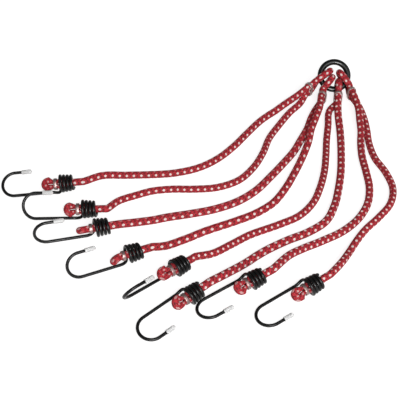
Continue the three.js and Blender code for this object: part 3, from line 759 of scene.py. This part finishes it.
def wire_path():
    """The hook wire's centre line: coil, lead-out, shank, bend and return leg."""
    hook, tip = settings().hook, settings().tip
    bend_x = hook.shank_start + hook.shank_length
    return_y = hook.bend_radius * 2 - hook.shank_offset

    def coil_point(turn):
        angle = hook.leaves_at - turn * tau
        tucked = max(turn - hook.coil_turns + TUCKED_TURN, 0) / TUCKED_TURN
        radius = coil_radius(turn / hook.coil_turns) - hook.end_tuck * tucked
        return RIGHT * -turn * hook.coil_pitch + swung(AHEAD, UP, angle) * radius

    steps = hook.coil_turns * hook.coil_steps
    points = [coil_point((steps - step) / hook.coil_steps) for step in range(steps + 1)]
    mouth = points[-1]
    leaving = (mouth - coil_point(1 / COIL_FACETS)).normalized() * hook.lead_out
    foot = Vector((hook.shank_start, -hook.shank_offset, 0))
    guides = (mouth, mouth + leaving, foot - RIGHT * hook.lead_out, foot)
    for i in range(1, LEAD_STEPS + 1):
        t = i / LEAD_STEPS
        shares = ((1 - t)**3, 3 * t * (1 - t)**2, 3 * t**2 * (1 - t), t**3)
        points.append(sum((guide * share for guide, share in zip(guides, shares)), Vector()))
    middle = Vector((bend_x, return_y - hook.bend_radius, 0))
    points += [middle + swung(RIGHT, AHEAD, angle) * hook.bend_radius
               for angle in arc_angles(-90, 90, hook.bend_steps)]
    return points + [Vector((bend_x - hook.return_leg - tip.grip, return_y, 0))]


def coil_room(x):
    """The clear radius inside the coil, less the seat's gap."""
    strap = settings()
    radius = coil_radius(min(max(-x / coil_length(), 0), 1)) * cos(pi / COIL_FACETS)
    return radius - strap.hook.wire_diameter / 2 - strap.cord.seat_gap


def pinch_edge(way):
    """Where the pinched cord under a fold's clip starts, for way -1, or ends, for way 1."""
    strap = settings()
    return strap.clip.place + way * (strap.clip.breadth / 2 + strap.fold.pinch_margin)


def fold_stations():
    """Stations of the folded end: place, tangent, half height and half width of its section."""
    fold, radius = settings().fold, settings().cord.diameter / 2
    parting = fold.leg_parting / 2
    turn = radius + parting
    deep, mouth = coil_room(-fold.tail_in_coil) - parting, coil_room(0) - parting
    legs = [(-fold.tail_in_coil, deep, fold.squeezed_width), (0, mouth, fold.squeezed_width),
            (pinch_edge(-1), fold.pinched_height, fold.pinched_width),
            (pinch_edge(1), fold.pinched_height, fold.pinched_width)]

    def leg(x, height, width, way):
        return (x, way * (height / 2 + parting), way, 0, height / 2, width / 2)

    held = radius * HELD_SHARE
    stations = [(-coil_length() * FOLD_START_SHARE, 0, 1, 0, held, held),
                (-coil_length() * PARTING_SHARE, deep * ASIDE_SHARE, 1, 0, held, radius)]
    stations += [leg(*place, 1) for place in legs]
    stations += [(fold.fold_centre + turn * cos(angle), turn * sin(angle), sin(angle), -cos(angle),
                  radius, radius) for angle in arc_angles(90, -90, BEND_STEPS)]
    return stations + [leg(*place, -1) for place in reversed(legs)]


def turned_and_tilted(point, arm):
    """A folded end's point turned in its coil and, past the clip, tilted to one side."""
    turn, tilt, towards = (radians(angle) for angle in FOLDS[arm])
    turned = Matrix.Rotation(turn, 3, "X") @ point
    past, run = turned.x - pinch_edge(1), settings().fold.bend_run
    if past <= 0:
        return turned
    way = swung(AHEAD, UP, towards)
    radius = run / tilt
    angle, straight = min(past, run) / radius, max(past - run, 0)
    inner = radius - turned.dot(way)
    rise = radius - inner * cos(angle) + straight * sin(angle)
    turned += way * (rise - turned.dot(way))
    turned.x = pinch_edge(1) + inner * sin(angle) + straight * cos(angle)
    return turned


def fold_rings(arm, sides):
    """Rings of points over an arm's folded end, with eased passages between its stations."""
    rings, centres = [], []
    stations = fold_stations()
    for i, (here, there) in enumerate(zip(stations, stations[1:])):
        in_fold = here[2:4] != there[2:4]
        last = i == len(stations) - 2
        for step in range(PASSAGE_STEPS + last):
            t = step / PASSAGE_STEPS
            eased = t if in_fold else t * t * (3 - 2 * t)
            x = here[0] + (there[0] - here[0]) * t
            z, tx, tz, half, width = (a + (b - a) * eased for a, b in zip(here[1:], there[1:]))
            above = Vector((tx, 0, tz)).normalized().cross(AHEAD)
            centre = Vector((x, 0, z))
            centres.append(turned_and_tilted(centre, arm))
            rings.append([
                turned_and_tilted(centre + swung(above * half, AHEAD * width, angle), arm)
                for angle in round_angles(sides)])
    return rings, centres


def clip_band(name, half_height, half_width, place, material):
    """A pressed strip round two legs, with rounded edges: a section swept round a flat oval."""
    clip = settings().clip
    straight = half_height - half_width
    outline = []
    for side in (1, -1):
        for angle in arc_angles(0, 180, OVAL_STEPS):
            normal = swung(AHEAD, UP, angle) * side
            outline.append((UP * straight * side + normal * half_width, normal))
    edge, corners = clip.edge, []
    for along, out, start in ((1, 1, 0), (-1, 1, 90), (-1, 0, 180), (1, 0, 270)):
        centre = Vector((along * (clip.breadth / 2 - edge),
                         out * clip.wall + edge * (1 - 2 * out), 0))
        corners += [centre + swung(RIGHT, AHEAD, angle) * edge
                    for angle in arc_angles(start, start + 90, EDGE_STEPS)]
    bm = bmesh.new()
    rows = [[bm.verts.new(place @ (point + normal * corner.y + RIGHT * corner.x))
             for corner in corners] for point, normal in outline]
    skin(bm, rows + rows[:1])
    return new_piece(name, bm, material)


def tip_piece(name, place):
    """The dipped tip: a rounded sleeve with a blind bore and a soft open rim."""
    strap = settings()
    tip, gap = strap.tip, strap.cord.seat_gap
    outer, bore, floor = tip.diameter / 2, (strap.hook.wire_diameter + gap) / 2, tip.grip + gap
    rim = (outer - bore) / 2
    profile = [(floor, 0), (floor, bore * BORE_FLOOR_SHARE), (floor - rim, bore)]
    profile += [(rim * (1 - sin(angle)), bore + rim * (1 - cos(angle)))
                for angle in arc_angles(0, 180, RIM_STEPS)]
    profile.append((tip.length * WAIST_SHARES[0], outer * WAIST_SHARES[1]))
    profile += [(tip.length - outer + outer * sin(angle), outer * cos(angle))
                for angle in arc_angles(0, 90, DOME_STEPS)]
    bm = bmesh.new()
    rows = []
    for along, radius in profile:
        centre = RIGHT * -along
        if radius < TINY:
            rows.append([bm.verts.new(place @ centre)] * TIP_SIDES)
        else:
            rows.append([bm.verts.new(place @ (centre + swung(AHEAD, UP, angle) * radius))
                         for angle in round_angles(TIP_SIDES)])
    skin(bm, rows)
    return new_piece(name, bm, "Dipped tip")


# The doubled cords

def on_axis(arm, x):
    return hook_frame(arm) @ (RIGHT * x)


def arm_points(arm):
    """An arm's points from its clip to the inside of its coil."""
    strap = settings()
    cord = strap.cord
    rest = cord.diameter / 2 + cord.floor_gap
    back = -(coil_length() + strap.hook.wire_diameter)
    neck_start = back - cord.neck_length - cord.seat_gap * 2
    route = [layout_point(x, y, rest + sum(lift) * SQUARE) for x, y, *lift in ROUTES[arm]]
    places = (neck_start - cord.neck_run_on, neck_start, back, -coil_length() * ARM_END_SHARE)
    return route + [on_axis(arm, x) for x in places]


def ring_frame():
    """The ring's centre, the direction up its sloping face, and its bar's centre radius."""
    ring, tilt = settings().ring, radians(RING_TILT)
    centre = Vector(joint_of("ring_turn")["pos_m"])
    return centre, swung(AHEAD, UP, tilt), (ring.outer_diameter - ring.section) / 2


def clip_frame(loop):
    """The place of a ring clip: the legs run along its X."""
    cord, clip = settings().cord, settings().clip
    x, y, lift = loop.clip
    half_height = (cord.diameter + cord.leg_gap) / 2 + cord.diameter / 2 + clip.gap + clip.wall
    spot = layout_point(x, y, half_height + cord.floor_gap + lift * SQUARE)
    return Matrix.Translation(spot) @ Matrix.Rotation(radians(loop.heading), 4, "Z")


def doubled_cord(loop):
    """A doubled cord's centre line, cut in the middle of its clip into front arm, loop, back."""
    cord, ring = settings().cord, settings().ring
    centre, slope, rim_radius = ring_frame()
    face = RIGHT.cross(slope)
    rim = centre + swung(RIGHT, slope, radians(loop.clock)) * rim_radius
    inward = swung(RIGHT, slope, radians(loop.slant))
    bight = rim + inward * loop.slack * SQUARE
    reach = ring.section / 2 + cord.diameter / 2 + cord.wrap_gap

    def round_bar_at(middle, turns):
        return [middle + swung(-inward, face, radians(turn)) * reach for turn in turns]

    place, rise = clip_frame(loop), (cord.diameter + cord.leg_gap) / 2

    def in_clip(along, height):
        return place @ Vector((along, 0, height))

    front, back = arm_points(loop.front), arm_points(loop.back)
    points = [*reversed(front), in_clip(cord.clip_run, rise), in_clip(-cord.clip_run, rise),
              *round_bar_at(rim, OVER_ANGLES), *round_bar_at(bight, BIGHT_ANGLES),
              *round_bar_at(rim, UNDER_ANGLES), in_clip(-cord.clip_run, -rise),
              in_clip(cord.clip_run, -rise), *back]
    course, marks = smooth_course(points, cord.step, cord.diameter / 2 + cord.floor_gap)
    first = (marks[len(front)] + marks[len(front) + 1]) // 2
    second = (marks[-len(back) - 1] + marks[-len(back) - 2]) // 2
    return course[:first + 1][::-1], course[first:second + 1], course[second:]


class STRAP_OT_arm_cords(bpy.types.Operator):
    """Make the eight long elastic arms, each a free cord from its ring clip into its coil"""
    bl_idname = "strap.arm_cords"
    bl_label = "Arm cords"

    def execute(self, context):
        for loop in LOOPS:
            front, _, back = doubled_cord(loop)
            for arm, path in ((loop.front, front), (loop.back, back)):
                rows = [(place * SQUARE, turn, dots) for place, turn, dots in DOT_ROWS[arm]]
                piece = cord_mesh(f"arm_{arm}", path, rows, ARM_GIRTHS[arm])
                stand_for(piece, "elastic_cord", None, f"arm_cord_{arm}", f"neck_cord_{arm}")
                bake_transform(piece)
                lengths_along(path)[-1]
        return {"FINISHED"}


class STRAP_OT_ring_loops(bpy.types.Operator):
    """Make the four loops that pass round the ring's bar"""
    bl_idname = "strap.ring_loops"
    bl_label = "Ring loops"

    def execute(self, context):
        cord = context.scene.strap.cord
        spacing = 360 / cord.dot_rows
        for loop in LOOPS:
            _, path, _ = doubled_cord(loop)
            pair = f"{loop.front}_{loop.back}"
            length = lengths_along(path)[-1]
            _, start, dots = DOT_ROWS[loop.front][0]
            end = DOT_ROWS[loop.back][0][1] - 180
            end += spacing * round((-start - end) / spacing)
            rows = [(0, -start, dots), (length, end, dots - length / cord.dot_pitch)]
            piece = cord_mesh(f"loop_{pair}", path, rows, LOOP_GIRTH)
            stand_for(piece, "elastic_cord", "bundle", f"ring_loop_{pair}")
        return {"FINISHED"}


class STRAP_OT_ring(bpy.types.Operator):
    """Make the round steel ring"""
    bl_idname = "strap.ring"
    bl_label = "Ring"

    def execute(self, context):
        ring = context.scene.strap.ring
        centre, slope, radius = ring_frame()
        points = [centre + swung(RIGHT, slope, angle) * radius
                  for angle in round_angles(ring.steps)]
        piece = round_bar("steel_ring", points, True, ring.section / 2, ring.sides,
                          "Ring coating")
        stand_for(piece, "ring_steel", "ring", "ring")
        return {"FINISHED"}


class STRAP_OT_hooks(bpy.types.Operator):
    """Make the eight wound wire hooks with their dipped tips"""
    bl_idname = "strap.hooks"
    bl_label = "Hooks"

    def execute(self, context):
        hook = context.scene.strap.hook
        path = wire_path()
        tip_place = Matrix.Translation((hook.shank_start + hook.shank_length - hook.return_leg,
                                        hook.bend_radius * 2 - hook.shank_offset, 0))
        for arm in ARMS:
            place = hook_frame(arm)
            wire = round_bar(f"wound_hook_{arm}", [place @ point for point in path], False,
                             hook.wire_diameter / 2, hook.sides, "Hook coating")
            stand_for(wire, "hook_wire", f"hook_{arm}", f"hook_wire_{arm}")
            tip = tip_piece(f"tip_{arm}", place @ tip_place)
            stand_for(tip, "dipped_tip", f"hook_{arm}", f"hook_tip_{arm}")
        return {"FINISHED"}


class STRAP_OT_folded_ends(bpy.types.Operator):
    """Make the folded cord ends that the coils hold"""
    bl_idname = "strap.folded_ends"
    bl_label = "Folded ends"

    def execute(self, context):
        for arm in ARMS:
            rings, centres = fold_rings(arm, context.scene.strap.cord.sides)
            place = hook_frame(arm)
            placed = [[place @ point for point in ring] for ring in rings]
            piece = loft(f"fold_{arm}", placed, lengths_along(centres), "Folded cord")
            stand_for(piece, "elastic_cord", f"hook_{arm}", f"folded_end_{arm}")
        return {"FINISHED"}


class STRAP_OT_clips(bpy.types.Operator):
    """Make the pressed clips round the doubled cords and round the folded ends"""
    bl_idname = "strap.clips"
    bl_label = "Clips"

    def execute(self, context):
        strap = context.scene.strap
        cord, clip, fold = strap.cord, strap.clip, strap.fold
        width = cord.diameter / 2 + clip.gap
        height = (cord.diameter + cord.leg_gap) / 2 + width
        for loop in LOOPS:
            pair = f"{loop.front}_{loop.back}"
            piece = clip_band(f"bundle_clip_{pair}", height, width, clip_frame(loop),
                              "Clip plating")
            stand_for(piece, "pressed_clip", "bundle", f"ring_clip_{pair}")
        width = fold.pinched_width / 2 + clip.gap
        height = fold.pinched_height + fold.leg_parting / 2 + clip.gap
        for arm in ARMS:
            turn = Matrix.Rotation(radians(FOLDS[arm][0]), 4, "X")
            place = hook_frame(arm) @ turn @ Matrix.Translation((clip.place, 0, 0))
            piece = clip_band(f"fold_clip_{arm}", height, width, place, "End clip plating")
            stand_for(piece, "pressed_clip", f"hook_{arm}", f"end_clip_{arm}")
        return {"FINISHED"}


class STRAP_OT_finishes(bpy.types.Operator):
    """Make the node groups and the materials that the pieces wear"""
    bl_idname = "strap.finishes"
    bl_label = "Finishes"

    def execute(self, context):
        strap = context.scene.strap
        hook, ring, clip, tip = strap.hook, strap.ring, strap.clip, strap.tip
        braided_cover_group()
        worn_coating_group()
        round_bar_tree()
        braid_material("Braided cord", fleck_strength=0.72, dot_strength=1.0)
        braid_material("Folded cord", fleck_strength=0.6, dot_strength=0.5)
        coated_material("Hook coating", hook.colour, hook.worn_colour,
                        {"Specular IOR Level": 0.25}, patch_scale=90.0, wear=0.5,
                        smooth=0.25, rough=0.42, depth=0.00004)
        coated_material("Ring coating", ring.colour, hook.worn_colour,
                        {"Specular IOR Level": 0.3}, patch_scale=70.0, wear=0.3,
                        smooth=0.16, rough=0.3, depth=0.00002)
        # The end clip plating is the clip plating with painted shade and a painted reflection of
        # the red cord
        for name, fresh, worn in (("Clip plating", clip.colour, clip.worn_colour),
                                  ("End clip plating", clip.end_colour_with_shade_and_reflection, clip.worn_end_colour_with_shade_and_reflection)):
            coated_material(name, fresh, worn, {"Metallic": 0.85}, patch_scale=250.0, wear=0.5,
                            smooth=0.3, rough=0.5, depth=0.00003)
        coated_material("Dipped tip", tip.colour, tip.worn_colour,
                        {"Transmission Weight": 0.1, "Subsurface Weight": 0.4,
                         "Subsurface Radius": (0.002, 0.002, 0.002), "Subsurface Scale": 1.0,
                         "IOR": 1.35}, patch_scale=300.0, wear=0.4,
                        smooth=0.22, rough=0.4, depth=0.00003)
        return {"FINISHED"}


class STRAP_OT_stage(bpy.types.Operator):
    """Make the floor, the soft light and the camera at the photograph's angle"""
    bl_idname = "strap.stage"
    bl_label = "Stage"

    def execute(self, context):
        stage = context.scene.strap.stage
        self.camera(context, stage)
        self.floor(stage)
        self.lights(context, stage)
        context.scene.view_settings.view_transform = "Standard"
        return {"FINISHED"}

    def camera(self, context, stage):
        data = bpy.data.cameras.new("Camera")
        data.sensor_width, data.lens = SENSOR_WIDTH, stage.lens
        data.clip_start, data.clip_end = VIEW_RANGE
        camera = add_object("Camera", data)
        back = swung(-AHEAD, UP, stage.elevation)
        camera.location = Vector(stage.aim) + back * stage.distance
        camera.rotation_euler = (pi / 2 - stage.elevation, 0, 0)
        context.scene.camera = camera

    def floor(self, stage):
        tree, shader = new_material("Pale floor", {
            "Base Color": (*stage.floor_colour, 1), "Roughness": 0.9, "Specular IOR Level": 0.1,
            "Emission Color": (1, 1, 1, 1)})
        rays = add_node(tree, "ShaderNodeLightPath").outputs
        seen = NodeNumber(tree, rays["Is Camera Ray"]).through("MAXIMUM", rays["Is Glossy Ray"])
        seen = seen.through("MAXIMUM", rays["Is Transmission Ray"])
        feed(tree, shader, {"Emission Strength": seen * stage.floor_glow})
        bm = bmesh.new()
        half = stage.floor_side / 2
        corners = ((-half, -half), (half, -half), (half, half), (-half, half))
        bm.faces.new([bm.verts.new((x, y, -stage.floor_drop)) for x, y in corners])
        floor = new_piece("floor", bm, "Pale floor", smooth=False)
        if floor.data.polygons[0].normal.z < 0:
            floor.data.flip_normals()

    def lights(self, context, stage):
        for name, spot, side, power in LAMPS:
            data = bpy.data.lights.new(name, "AREA")
            data.size, data.energy = side, getattr(stage, power)
            light = add_object(name, data)
            light.location = spot
            light.rotation_euler = (-Vector(spot)).to_track_quat("-Z", "Y").to_euler()
            light.visible_diffuse = name != "Glint"
        world = bpy.data.worlds.new("Even light")
        world.use_nodes = True
        feed(world.node_tree, world.node_tree.nodes["Background"],
             {"Color": (1, 1, 1, 1), "Strength": stage.world_strength})
        context.scene.world = world


class STRAP_PT_panel(bpy.types.Panel):
    """The strap's steps and settings, in the 3D view's sidebar"""
    bl_idname = "STRAP_PT_panel"
    bl_label = "Bungee strap"
    bl_space_type = "VIEW_3D"
    bl_region_type = "UI"
    bl_category = "Strap"

    def draw(self, context):
        for operator in OPERATORS:
            self.layout.operator(operator.bl_idname)
        for group in StrapSettings.__annotations__:
            box = self.layout.box()
            values = getattr(context.scene.strap, group)
            for label in values.__annotations__:
                box.prop(values, label)


SETTINGS = (CordSettings, HookSettings, TipSettings, FoldSettings, ClipSettings, RingSettings,
            StageSettings, StrapSettings)
OPERATORS = (STRAP_OT_stage, STRAP_OT_finishes, STRAP_OT_arm_cords, STRAP_OT_ring_loops,
             STRAP_OT_ring, STRAP_OT_hooks, STRAP_OT_folded_ends, STRAP_OT_clips)


def register():
    for item in (*SETTINGS, *OPERATORS, STRAP_PT_panel):
        bpy.utils.register_class(item)
    bpy.types.Scene.strap = PointerProperty(type=StrapSettings)


def unregister():
    del bpy.types.Scene.strap
    for item in reversed((*SETTINGS, *OPERATORS, STRAP_PT_panel)):
        bpy.utils.unregister_class(item)


def main():
    register()
    bpy.ops.strap.stage()
    bpy.ops.strap.finishes()
    bpy.ops.strap.arm_cords()
    bpy.ops.strap.ring_loops()
    bpy.ops.strap.ring()
    bpy.ops.strap.hooks()
    bpy.ops.strap.folded_ends()
    bpy.ops.strap.clips()


if __name__ == "__main__":
    main()
